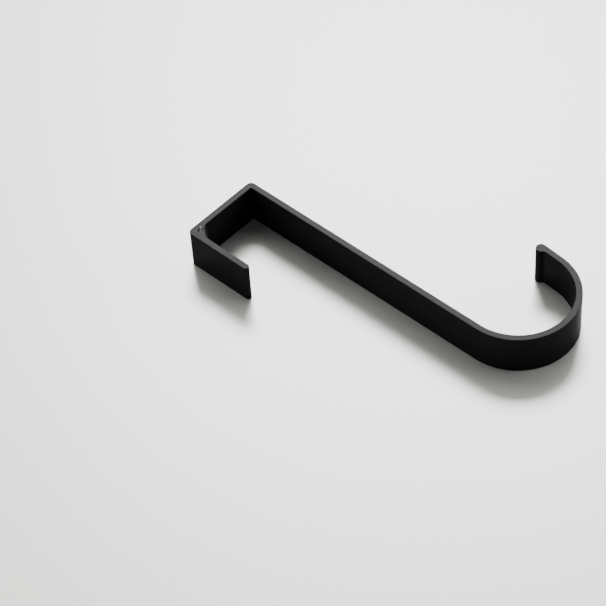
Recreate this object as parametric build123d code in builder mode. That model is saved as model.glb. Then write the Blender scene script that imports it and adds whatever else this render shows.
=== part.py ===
"""Over door hook: one flat aluminium section, a square bracket for the door at one end and a J at the other.

The hook lies on one long edge. X runs along the arm from the bracket to the J, Y runs from the door
side to the hook side, Z is the strip's width. The origin is under the middle of the hook, on the surface.
"""

import os
from math import sqrt

from build123d import *

# Strip
strip_width = 20.0
strip_thickness = 3.0
rim_radius = 0.2

# Bracket over the door: leg, bridge and the arm's upper end
door_gap = 35.0
leg_reach = 35.6
leg_outer_corner = 2.5
arm_outer_corner = 2.5
arm_inner_corner = 0.6

# Weld across the inner corner of leg and bridge
weld_on_leg = 7.4
weld_on_bridge = 5.5
weld_toe_radius = 0.8

# Arm and J
arm_length = 134.0
hook_inner_radius = 25.0
hook_bend_angle = 175.0

# Tip: a straight run that ends in a bead, proud of the inside of the J
tip_run = 10.5
bead_rise = 1.8
bead_blend_radius = 2.0

# Bracket outline: the bridge's outer face is at x = 0 and the arm's door face at y = 0
leg_inner_y = -door_gap
leg_outer_y = -door_gap - strip_thickness
leg_end_radius = strip_thickness / 2
leg_end_x = leg_reach - leg_end_radius

# J outline: both arcs share one centre, and the tip runs on from their ends
hook_outer_radius = hook_inner_radius + strip_thickness
hook_centre = Vector(arm_length, hook_outer_radius)
tip_outward = Vector(1, 0).rotate(Axis.Z, hook_bend_angle - 90)
tip_along = tip_outward.rotate(Axis.Z, 90)
bend_end_inner = hook_centre + tip_outward * hook_inner_radius
bend_end_outer = hook_centre + tip_outward * hook_outer_radius

# Bead outline: a circle that touches the tip's outer face, blended into its inner face
bead_radius = (strip_thickness + bead_rise) / 2
bead_outer = bend_end_outer + tip_along * tip_run
bead_centre = bead_outer - tip_outward * bead_radius
bead_nose = bead_centre + tip_along * bead_radius
blend_run = sqrt(bead_rise * (2 * bead_blend_radius + strip_thickness))
blend_start = bend_end_inner + tip_along * (tip_run - blend_run)
blend_centre = blend_start - tip_outward * bead_blend_radius
blend_end = bead_centre + (blend_centre - bead_centre).normalized() * bead_radius

with BuildSketch() as profile:
    with BuildLine() as outline:
        FilletPolyline(
            (leg_end_x, leg_outer_y),
            (0, leg_outer_y),
            (0, strip_thickness),
            (arm_length, strip_thickness),
            radius=[leg_outer_corner, arm_outer_corner],
        )
        CenterArc(hook_centre, hook_inner_radius, -90, hook_bend_angle)
        Line(bend_end_inner, blend_start)
        TangentArc(blend_start, blend_end, tangent=tip_along)
        ThreePointArc(blend_end, bead_nose, bead_outer)
        Line(bead_outer, bend_end_outer)
        CenterArc(hook_centre, hook_outer_radius, -90, hook_bend_angle)
        FilletPolyline(
            (arm_length, 0),
            (strip_thickness, 0),
            (strip_thickness, leg_inner_y + weld_on_bridge),
            (strip_thickness + weld_on_leg, leg_inner_y),
            (leg_end_x, leg_inner_y),
            radius=[arm_inner_corner, weld_toe_radius, weld_toe_radius],
        )
        CenterArc((leg_end_x, leg_outer_y + leg_end_radius), leg_end_radius, -90, 180)
    make_face()

middle = profile.sketch.bounding_box().center()

with BuildPart() as door_hook:
    with BuildSketch(Plane(origin=(-middle.X, -middle.Y, 0))):
        add(profile.sketch)
    extrude(amount=strip_width)
    rims = door_hook.faces().filter_by(Axis.Z).edges()
    fillet(rims, radius=rim_radius)

door_hook.part.label = "door_hook"
os.makedirs("parts", exist_ok=True)
export_step(door_hook.part, "parts/door_hook.step")
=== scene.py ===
"""Over door hook in black coated aluminium, lying on one long edge on a pale floor.

The hook is one surface. Two rails follow its profile from the leg's round end to the bead at the tip, one
along the hook side and one along the door side, and a section with rounded rims is carried along them. The
profile is in millimetres, with the bridge's outer face at x = 0 and the arm's door face at y = 0.
"""

import bmesh
import bpy
import numpy as np
from mathutils import Matrix, Vector


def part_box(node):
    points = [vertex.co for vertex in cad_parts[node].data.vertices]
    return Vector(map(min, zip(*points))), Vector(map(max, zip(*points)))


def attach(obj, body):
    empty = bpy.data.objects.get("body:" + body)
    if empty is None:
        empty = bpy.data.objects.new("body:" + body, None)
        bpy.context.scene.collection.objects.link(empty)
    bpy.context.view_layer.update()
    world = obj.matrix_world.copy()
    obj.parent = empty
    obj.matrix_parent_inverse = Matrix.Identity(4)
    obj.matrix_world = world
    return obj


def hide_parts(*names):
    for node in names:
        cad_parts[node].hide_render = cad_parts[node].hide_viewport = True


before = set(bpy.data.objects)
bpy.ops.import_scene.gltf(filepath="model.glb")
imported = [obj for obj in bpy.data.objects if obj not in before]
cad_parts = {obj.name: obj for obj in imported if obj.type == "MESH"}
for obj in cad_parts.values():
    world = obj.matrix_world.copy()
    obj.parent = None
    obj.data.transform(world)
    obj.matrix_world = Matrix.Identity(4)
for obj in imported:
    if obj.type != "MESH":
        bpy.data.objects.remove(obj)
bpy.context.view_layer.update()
hook_low, hook_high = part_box("door_hook")

MM = 0.001

# Strip
STRIP_THICKNESS = 3.0
RIM_RADIUS = 0.2

# Bracket over the door
DOOR_GAP = 35.0
LEG_REACH = 35.6
LEG_OUTER_CORNER = 2.5
ARM_OUTER_CORNER = 2.5
ARM_INNER_CORNER = 0.6

# Weld across the inner corner of leg and bridge, with a rounder rim than the strip's
WELD_ON_LEG = 7.4
WELD_ON_BRIDGE = 5.5
WELD_TOE_RADIUS = 0.8
WELD_RIM_RADIUS = 1.4
WELD_RIM_REACH = 4.6
WELD_RIM_FADE = 1.6

# Marks on the weld's top: a pale streak painted into the coat's colour, brightest near its start, with a nick
# on each side of it
STREAK_START = np.array([2.25, -31.65])
STREAK_END = np.array([4.5, -34.6])
STREAK_HALF_WIDTH = 0.24
STREAK_END_FADE = 0.3
STREAK_PEAK = 0.7
STREAK_PEAK_REACH = 0.55
STREAK_FAINT = 0.45
NICK_CENTRES = np.array([[3.35, -34.05], [3.75, -32.75]])
NICK_HALF_LENGTHS = np.array([0.7, 0.5])
NICK_HALF_WIDTHS = np.array([0.45, 0.3])
NICK_DEPTHS = np.array([0.25, 0.2])

# Arm and J
ARM_LENGTH = 134.0
HOOK_INNER_RADIUS = 25.0
HOOK_BEND_ANGLE = 175.0

# Tip: a straight run that ends in a bead, proud of the inside of the J
TIP_RUN = 10.5
BEAD_RISE = 1.8
BEAD_BLEND_RADIUS = 2.0

# From the frame: the strip's width, and the profile's origin in the row frame
STRIP_WIDTH = (hook_high.z - hook_low.z) / MM
PROFILE_ORIGIN = np.array([hook_low.x, hook_low.y + (DOOR_GAP + STRIP_THICKNESS) * MM, hook_low.z])

# The streak's length and its directions, from its ends
STREAK_LENGTH = np.linalg.norm(STREAK_END - STREAK_START)
STREAK_ALONG = (STREAK_END - STREAK_START) / STREAK_LENGTH
STREAK_ACROSS = np.array([-STREAK_ALONG[1], STREAK_ALONG[0]])

# Fineness of the surface, and how near two points are when they become one
RIM_STEPS = 6
FACE_STEPS = 40
MERGE_GAP = 0.001

# Camera: where its axis meets the floor, in the profile's millimetres, and how it looks there
CAMERA_AIM = np.array([55.07, -23.70, 0.0])
CAMERA_DISTANCE = 1086.2
CAMERA_AZIMUTH = 45.53
CAMERA_ELEVATION = 48.11
CAMERA_ROLL = -4.17
CAMERA_LENS = 146.39

# Lights, as seen from the middle of the hook: a soft box behind it, a wide panel over that, and a low fill
# on each side. Their places and half sizes are angles in degrees, and their distances are in millimetres.
LIGHTS = {
    "key_soft_box": dict(
        azimuth=130.8, elevation=45.0, half_width=10.8, half_height=8.25, distance=5000.0, watts=474.0,
    ),
    "wide_panel": dict(
        azimuth=133.0, elevation=51.0, half_width=41.0, half_height=22.0, distance=2200.0, watts=48.0,
    ),
    "left_fill": dict(
        azimuth=234.0, elevation=18.7, half_width=16.0, half_height=10.0, distance=2000.0, watts=11.0,
    ),
    "right_fill": dict(
        azimuth=48.7, elevation=18.7, half_width=16.0, half_height=10.0, distance=2000.0, watts=17.4,
    ),
}
LIGHT_COLOUR = "#fffffc"
ROOM_STRENGTH = 0.081

FLOOR_SIDE = 8000.0


def linear(hex_colour):
    """An sRGB hex colour as linear RGBA, opaque."""
    srgb = np.array([int(hex_colour[i:i + 2], 16) for i in (1, 3, 5)]) / 255
    channels = np.where(srgb <= 0.04045, srgb / 12.92, ((srgb + 0.055) / 1.055) ** 2.4)
    return (*channels.tolist(), 1.0)


def to_row(points):
    """Points in the profile's millimetres, as metres in the row frame."""
    return np.asarray(points) * MM + PROFILE_ORIGIN


def unit(angle):
    """The unit vector, or vectors, at an angle in degrees from x towards y."""
    turn = np.radians(angle)
    return np.stack([np.cos(turn), np.sin(turn)], axis=-1)


# Hook surface


def straight(start, end, inward, share):
    """A straight stretch of a rail: start + share x (end - start), with one inward normal all along."""
    points = np.asarray(start) + share[:, None] * np.subtract(end, start)
    return points, np.broadcast_to(inward, points.shape)


def bend(centre, radius, first, last, metal, share):
    """A bent stretch of a rail: centre + radius x the unit vector at first + share x (last - first) degrees.

    metal is -1 where the metal lies towards the centre and 1 where it lies beyond the radius.
    """
    radial = unit(first + share * (last - first))
    return np.asarray(centre) + radius * radial, metal * radial


def hook_rails():
    """The two rails, each as points and inward normals, station by station from the leg's end to the tip.

    A stretch gives its steps, its hook side and its door side. The two sides share each station, so opposite
    points of a bend are at the same angle and opposite points of the bead at the same distance along the tip.
    """
    leg_outer = -DOOR_GAP - STRIP_THICKNESS
    leg_end_radius = STRIP_THICKNESS / 2
    leg_end = LEG_REACH - leg_end_radius
    leg_end_centre = (leg_end, leg_outer + leg_end_radius)
    leg_corner = (LEG_OUTER_CORNER, leg_outer + LEG_OUTER_CORNER)
    # The part of the outer corner's turn, in degrees, that stands opposite each toe of the weld
    toe_turn = 15

    weld_lean = np.arctan2(WELD_ON_BRIDGE, WELD_ON_LEG)
    weld_side = -90 - np.degrees(weld_lean)
    weld_inward = unit(weld_side)
    weld_face = WELD_TOE_RADIUS * weld_inward
    toe_on_leg = WELD_ON_LEG + WELD_TOE_RADIUS * np.tan(weld_lean / 2)
    toe_on_bridge = WELD_ON_BRIDGE + WELD_TOE_RADIUS * np.tan(np.pi / 4 - weld_lean / 2)
    leg_toe = np.array([STRIP_THICKNESS + toe_on_leg, WELD_TOE_RADIUS - DOOR_GAP])
    bridge_toe = np.array([STRIP_THICKNESS + WELD_TOE_RADIUS, toe_on_bridge - DOOR_GAP])

    hook_outer_radius = HOOK_INNER_RADIUS + STRIP_THICKNESS
    hook_centre = np.array([ARM_LENGTH, hook_outer_radius])
    outward = unit(HOOK_BEND_ANGLE - 90)
    along = unit(HOOK_BEND_ANGLE)
    bead_radius = leg_end_radius + BEAD_RISE / 2
    blend_share = bead_radius / (bead_radius + BEAD_BLEND_RADIUS)
    blend_run = np.sqrt(BEAD_RISE * (2 * BEAD_BLEND_RADIUS + STRIP_THICKNESS))
    blend_start = TIP_RUN - blend_run
    blend_end = TIP_RUN - blend_run * blend_share
    blend_turn = np.degrees(np.arccos(-blend_run / (bead_radius + BEAD_BLEND_RADIUS)))

    def tip(run, height):
        """A point of the tip, by its distance from the end of the bend and its height over the outer face."""
        return hook_centre + outward * (hook_outer_radius - height) + along * run

    bead_centre = tip(TIP_RUN, bead_radius)
    blend_centre = tip(blend_start, STRIP_THICKNESS + BEAD_BLEND_RADIUS)
    bead_side = HOOK_BEND_ANGLE + 90

    stretches = [
        # Leg's round end
        (14,
         (bend, leg_end_centre, leg_end_radius, 0, -90, -1),
         (bend, leg_end_centre, leg_end_radius, 0, 90, -1)),
        # Leg
        (10,
         (straight, (leg_end, leg_outer), (LEG_OUTER_CORNER, leg_outer), (0, 1)),
         (straight, (leg_end, -DOOR_GAP), (leg_toe[0], -DOOR_GAP), (0, -1))),
        # Corner of leg and bridge: the weld's toe on the leg, its face and its toe on the bridge
        (8,
         (bend, leg_corner, LEG_OUTER_CORNER, -90, -90 - toe_turn, -1),
         (bend, leg_toe, WELD_TOE_RADIUS, -90, weld_side, 1)),
        (36,
         (bend, leg_corner, LEG_OUTER_CORNER, -90 - toe_turn, toe_turn - 180, -1),
         (straight, leg_toe + weld_face, bridge_toe + weld_face, weld_inward)),
        (8,
         (bend, leg_corner, LEG_OUTER_CORNER, toe_turn - 180, -180, -1),
         (bend, bridge_toe, WELD_TOE_RADIUS, weld_side, -180, 1)),
        # Bridge
        (10,
         (straight, (0, leg_corner[1]), (0, STRIP_THICKNESS - ARM_OUTER_CORNER), (1, 0)),
         (straight, (STRIP_THICKNESS, bridge_toe[1]), (STRIP_THICKNESS, -ARM_INNER_CORNER), (-1, 0))),
        # Corner of bridge and arm
        (20,
         (bend, (ARM_OUTER_CORNER, STRIP_THICKNESS - ARM_OUTER_CORNER), ARM_OUTER_CORNER, 180, 90, -1),
         (bend, (STRIP_THICKNESS + ARM_INNER_CORNER, -ARM_INNER_CORNER), ARM_INNER_CORNER, 180, 90, 1)),
        # Arm
        (40,
         (straight, (ARM_OUTER_CORNER, STRIP_THICKNESS), (ARM_LENGTH, STRIP_THICKNESS), (0, -1)),
         (straight, (STRIP_THICKNESS + ARM_INNER_CORNER, 0), (ARM_LENGTH, 0), (0, 1))),
        # J
        (140,
         (bend, hook_centre, HOOK_INNER_RADIUS, -90, HOOK_BEND_ANGLE - 90, 1),
         (bend, hook_centre, hook_outer_radius, -90, HOOK_BEND_ANGLE - 90, -1)),
        # Tip's straight run
        (8,
         (straight, tip(0, STRIP_THICKNESS), tip(blend_start, STRIP_THICKNESS), outward),
         (straight, tip(0, 0), tip(blend_start, 0), -outward)),
        # Blend up to the bead
        (12,
         (bend, blend_centre, BEAD_BLEND_RADIUS, bead_side - 180, HOOK_BEND_ANGLE + blend_turn - 180, 1),
         (straight, tip(blend_start, 0), tip(blend_end, 0), -outward)),
        # Bead's back
        (14,
         (bend, bead_centre, bead_radius, HOOK_BEND_ANGLE + blend_turn, bead_side, -1),
         (straight, tip(blend_end, 0), tip(TIP_RUN, 0), -outward)),
        # Bead's nose
        (24,
         (bend, bead_centre, bead_radius, bead_side, HOOK_BEND_ANGLE, -1),
         (bend, bead_centre, bead_radius, HOOK_BEND_ANGLE - 90, HOOK_BEND_ANGLE, -1)),
    ]
    rails = []
    for side in (1, 2):
        parts = []
        for number, stretch in enumerate(stretches):
            share = np.linspace(0, 1, stretch[0] + 1)[min(number, 1):]
            shape, *sizes = stretch[side]
            parts.append(shape(*sizes, share))
        rails.append([np.concatenate(arrays) for arrays in zip(*parts)])
    return rails


def rim_along(points):
    """The rim's radius at each point of a rail: the strip's own, and the weld's where the weld is near.

    It blends from one to the other on a smooth step of the distance from the middle of the weld.
    """
    weld_middle = (STRIP_THICKNESS + WELD_ON_LEG / 2, WELD_ON_BRIDGE / 2 - DOOR_GAP)
    gap = np.linalg.norm(points - np.array(weld_middle), axis=1)
    near = np.clip((WELD_RIM_REACH - gap) / WELD_RIM_FADE, 0, 1)
    return RIM_RADIUS + (WELD_RIM_RADIUS - RIM_RADIUS) * near ** 2 * (3 - 2 * near)


def hook_side(points, inward):
    """Points and normals of one side of the hook, station by station and from the bottom face to the top.

    The section is a quarter circle of the rim's radius at each edge with a straight wall between. At an angle
    a over the horizon a point lies rim x (1 - cos a) inward of the rail and rim x (1 - sin |a|) from the
    nearer face, and its normal leans by a from the rail's outward normal to the vertical.
    """
    quarter = np.linspace(0, 90, RIM_STEPS + 1)
    lean = unit(np.concatenate([quarter - 90, quarter]))
    face = np.repeat([0.0, STRIP_WIDTH], RIM_STEPS + 1)
    into = np.repeat([1.0, -1.0], RIM_STEPS + 1)
    rim = rim_along(points)[:, None]
    plan = points[:, None, :] + (rim * (1 - lean[:, 0]))[..., None] * inward[:, None, :]
    level = face + into * rim * (1 - np.abs(lean[:, 1]))
    flat = -lean[:, :1] * inward[:, None, :]
    rise = np.broadcast_to(lean[:, 1], level.shape)
    return np.dstack([plan, level]), np.dstack([flat, rise])


def across(first, last):
    """The inner columns of a flat face, evenly from one edge to the other at each station."""
    share = np.linspace(0, 1, FACE_STEPS + 1)[1:-1, None]
    return first[:, None, :] * (1 - share) + last[:, None, :] * share


def nicked(top):
    """A top face and its normals with the scar's nicks pressed in.

    Each nick is depth x exp(-u^2 - v^2), where u and v are the distances from its centre along and across
    the streak over its half length and half width. The normal is (slope of the depth in x, slope in y, 1),
    scaled to one.
    """
    offset = top[..., None, :2] - NICK_CENTRES
    u = offset @ STREAK_ALONG / NICK_HALF_LENGTHS
    v = offset @ STREAK_ACROSS / NICK_HALF_WIDTHS
    depth = NICK_DEPTHS * np.exp(-u ** 2 - v ** 2)
    along = (-2 * u * depth / NICK_HALF_LENGTHS).sum(axis=-1)[..., None]
    sideways = (-2 * v * depth / NICK_HALF_WIDTHS).sum(axis=-1)[..., None]
    lowered = top - depth.sum(axis=-1)[..., None] * np.array([0, 0, 1])
    normal = np.concatenate([along * STREAK_ALONG + sideways * STREAK_ACROSS, np.ones(along.shape)], axis=-1)
    return lowered, normal / np.linalg.norm(normal, axis=-1, keepdims=True)


def pale_streak(points):
    """How strongly the coat's colour is paled at each point, from 0 to 1: only on the top face, along the
    weld's streak.

    It is exp(-(across / half width)^2), faded out evenly over a short way about each of the streak's ends. It
    is faint along the streak and rises to full at its peak, by exp(-((along - peak) / reach)^2).
    """
    offset = points[..., :2] - STREAK_START
    along = offset @ STREAK_ALONG
    sideways = offset @ STREAK_ACROSS
    ends = np.clip(np.minimum(along, STREAK_LENGTH - along) / STREAK_END_FADE + 0.5, 0, 1)
    strength = STREAK_FAINT + (1 - STREAK_FAINT) * np.exp(-((along - STREAK_PEAK) / STREAK_PEAK_REACH) ** 2)
    on_top = points[..., 2] > STRIP_WIDTH - 2 * RIM_RADIUS
    return on_top * ends * strength * np.exp(-(sideways / STREAK_HALF_WIDTH) ** 2)


def hook_surface():
    """Points and normals of the hook on a grid of stations by places round the section.

    The section goes up the hook side, across the top, down the door side and back across the bottom.
    """
    (hook, hook_normal), (door, door_normal) = (hook_side(*rail) for rail in hook_rails())
    top, top_normal = nicked(across(hook[:, -1], door[:, -1]))
    bottom = across(door[:, 0], hook[:, 0])
    bottom_normal = np.broadcast_to([0.0, 0.0, -1.0], bottom.shape)
    points = np.concatenate([hook, top, door[:, ::-1], bottom], axis=1)
    normals = np.concatenate([hook_normal, top_normal, door_normal[:, ::-1], bottom_normal], axis=1)
    return points, normals


def add_hook(material):
    """The hook as one closed mesh: each cell of the grid is a face, and the ends and the seam are closed."""
    points, normals = hook_surface()
    index = np.arange(points.shape[0] * points.shape[1]).reshape(points.shape[:2])
    onward = np.roll(index, -1, axis=1)
    faces = np.stack([index[:-1], onward[:-1], onward[1:], index[1:]], axis=2).reshape(-1, 4)

    mesh = bpy.data.meshes.new("hook_strip")
    mesh.from_pydata(to_row(points).reshape(-1, 3).tolist(), [], faces.tolist())
    carried = mesh.attributes.new("skin_normal", "FLOAT_VECTOR", "POINT")
    carried.data.foreach_set("vector", normals.reshape(-1).astype(np.float32))
    # The pale streak's strength at each point, which the coat paints into its colour
    streaked = mesh.attributes.new("pale_streak", "FLOAT", "POINT")
    streaked.data.foreach_set("value", pale_streak(points).reshape(-1).astype(np.float32))

    joined = bmesh.new()
    joined.from_mesh(mesh)
    bmesh.ops.remove_doubles(joined, verts=joined.verts, dist=MERGE_GAP * MM)
    joined.to_mesh(mesh)
    joined.free()

    kept = np.empty(len(mesh.vertices) * 3, np.float32)
    mesh.attributes["skin_normal"].data.foreach_get("vector", kept)
    mesh.attributes.remove(mesh.attributes["skin_normal"])
    mesh.shade_smooth()
    mesh.normals_split_custom_set_from_vertices(kept.reshape(-1, 3).tolist())
    mesh.materials.append(material)
    piece = bpy.data.objects.new("hook_strip", mesh)
    bpy.context.scene.collection.objects.link(piece)
    return piece


# Materials


def add_node(tree, kind, inputs=(), **settings):
    """Adds a node, sets its own properties, and fills its inputs with constants or other nodes' outputs."""
    node = tree.nodes.new(kind)
    for name, value in settings.items():
        setattr(node, name, value)
    for name, value in dict(inputs).items():
        if isinstance(value, bpy.types.NodeSocket):
            tree.links.new(value, node.inputs[name])
        else:
            node.inputs[name].default_value = value
    return node


def new_material(name):
    """An empty node material with its output, and the piece's own coordinates in metres."""
    material = bpy.data.materials.new(name)
    material.use_nodes = True
    tree = material.node_tree
    tree.nodes.clear()
    output = add_node(tree, "ShaderNodeOutputMaterial")
    place = add_node(tree, "ShaderNodeTexCoord").outputs["Object"]
    return material, tree, output, place


def per_metre(size):
    """A texture scale that repeats about once in a size in millimetres."""
    return 1 / (size * MM)


def black_powder_coat():
    """Black polyester powder coat, sprayed and baked on aluminium.

    It gives the eye a deep neutral black with a dull, even sheen, a fine grain from the powder, and places
    that are a little paler than others. Its resin has an IOR of about 1.5, but its rough skin scatters most
    of that gloss: beside a bright floor the upright faces stay deep black, and so do edges seen at a glance.
    So the specular level, which rules the glancing gloss, is very low, and the tint lifts the head-on sheen
    again.
    """
    material, tree, output, place = new_material("black_powder_coat")
    # The real grain is a few tenths of a millimetre wide. It is drawn at about 1 mm, or it wouldn't show.
    grain_size = 0.9
    grain_depth = 0.02
    cloud_size = 14.0
    sheen_lift = 6.4
    grain = add_node(
        tree, "ShaderNodeTexNoise",
        {"Vector": place, "Scale": per_metre(grain_size), "Detail": 3.0},
    )
    cloud = add_node(
        tree, "ShaderNodeTexNoise",
        {"Vector": place, "Scale": per_metre(cloud_size), "Detail": 2.0},
    )
    black = add_node(
        tree, "ShaderNodeMix",
        {0: cloud.outputs["Fac"], 6: linear("#1c1c1c"), 7: linear("#202020")},
        data_type="RGBA",
    )
    # A pale streak painted into the coat's colour on the weld's top, at full strength near its start
    streaked = add_node(tree, "ShaderNodeAttribute", attribute_name="pale_streak")
    colour = add_node(
        tree, "ShaderNodeMix",
        {0: streaked.outputs["Fac"], 6: black.outputs[2], 7: linear("#7a7a7a")},
        data_type="RGBA",
    )
    gloss = add_node(
        tree, "ShaderNodeMapRange",
        {"Value": grain.outputs["Fac"], "From Min": 0.3, "From Max": 0.7, "To Min": 0.22, "To Max": 0.265},
    )
    bump = add_node(
        tree, "ShaderNodeBump",
        {"Height": grain.outputs["Fac"], "Strength": 0.3, "Distance": grain_depth * MM},
    )
    coat = add_node(
        tree, "ShaderNodeBsdfPrincipled",
        {
            "Base Color": colour.outputs[2],
            "Roughness": gloss.outputs["Result"],
            "IOR": 1.5,
            "Specular IOR Level": 0.0044,
            "Specular Tint": (sheen_lift, sheen_lift, sheen_lift, 1.0),
            "Normal": bump.outputs["Normal"],
        },
    )
    tree.links.new(coat.outputs["BSDF"], output.inputs["Surface"])
    return material


def satin_board():
    """Pale satin board under the hook.

    It gives the eye an even off-white with a faint cloudiness, and a sheen that mirrors the light behind the
    hook.
    """
    material, tree, output, place = new_material("satin_board")
    cloud_size = 300.0
    cloud = add_node(
        tree, "ShaderNodeTexNoise",
        {"Vector": place, "Scale": per_metre(cloud_size), "Detail": 1.0},
    )
    colour = add_node(
        tree, "ShaderNodeMix",
        {0: cloud.outputs["Fac"], 6: linear("#d0d0ce"), 7: linear("#d3d3d1")},
        data_type="RGBA",
    )
    board = add_node(
        tree, "ShaderNodeBsdfPrincipled",
        {"Base Color": colour.outputs[2], "Roughness": 0.35, "Specular IOR Level": 1.0},
    )
    tree.links.new(board.outputs["BSDF"], output.inputs["Surface"])
    return material


# Stage, light and camera


def add_floor(material):
    """A square floor at the height of the hook's lowest edge."""
    reach = FLOOR_SIDE / 2 * MM
    signs = ((-1, -1), (1, -1), (1, 1), (-1, 1))
    corners = [(reach * x, reach * y, hook_low.z) for x, y in signs]
    mesh = bpy.data.meshes.new("floor")
    mesh.from_pydata(corners, [], [(0, 1, 2, 3)])
    mesh.materials.append(material)
    floor = bpy.data.objects.new("floor", mesh)
    bpy.context.scene.collection.objects.link(floor)
    return floor


def looking(place, right, up):
    """The matrix of a camera or light at a place, with its own right and up directions; it looks along -Z."""
    back = np.cross(right, up)
    turn = Matrix(np.column_stack([right, up, back]).tolist()).to_4x4()
    return Matrix.Translation(Vector(place)) @ turn


def add_light(name, azimuth, elevation, half_width, half_height, distance, watts):
    """A rectangular light that faces the middle of the hook, placed and sized by angles seen from there."""
    middle = np.array((hook_low + hook_high) / 2)
    level = np.append(unit(azimuth), 0.0)
    sideways = np.append(unit(azimuth + 90), 0.0)
    climb = np.radians(elevation)
    towards = level * np.cos(climb) + np.array([0, 0, np.sin(climb)])
    light = bpy.data.lights.new(name, "AREA")
    light.shape = "RECTANGLE"
    light.size = 2 * distance * np.tan(np.radians(half_width)) * MM
    light.size_y = 2 * distance * np.tan(np.radians(half_height)) * MM
    light.energy = watts
    light.color = linear(LIGHT_COLOUR)[:3]
    lamp = bpy.data.objects.new(name, light)
    lamp.matrix_world = looking(middle + towards * distance * MM, sideways, np.cross(towards, sideways))
    bpy.context.scene.collection.objects.link(lamp)


def light_room():
    """An even pale room all round, which fills the shadows."""
    world = bpy.data.worlds.new("room")
    world.use_nodes = True
    background = world.node_tree.nodes["Background"]
    background.inputs["Color"].default_value = linear("#ffffff")
    background.inputs["Strength"].default_value = ROOM_STRENGTH
    bpy.context.scene.world = world


def add_camera():
    """The camera at the photograph's angle: turned to its azimuth, tilted down and rolled about its axis."""
    level = np.append(unit(CAMERA_AZIMUTH), 0.0)
    away = np.append(unit(CAMERA_AZIMUTH + 90), 0.0)
    vertical = np.array([0.0, 0.0, 1.0])
    tilt = np.radians(CAMERA_ELEVATION)
    roll = np.radians(CAMERA_ROLL)
    forward = away * np.cos(tilt) - vertical * np.sin(tilt)
    top = away * np.sin(tilt) + vertical * np.cos(tilt)
    right = level * np.cos(roll) + top * np.sin(roll)
    up = top * np.cos(roll) - level * np.sin(roll)
    camera = bpy.data.cameras.new("camera")
    camera.lens = CAMERA_LENS
    holder = bpy.data.objects.new("camera", camera)
    holder.matrix_world = looking(to_row(CAMERA_AIM - forward * CAMERA_DISTANCE), right, up)
    bpy.context.scene.collection.objects.link(holder)
    bpy.context.scene.camera = holder


hook = add_hook(black_powder_coat())
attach(hook, "root")
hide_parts("door_hook")

add_floor(satin_board())
for name, setting in LIGHTS.items():
    add_light(name, **setting)
light_room()
add_camera()

bpy.context.view_layer.update()
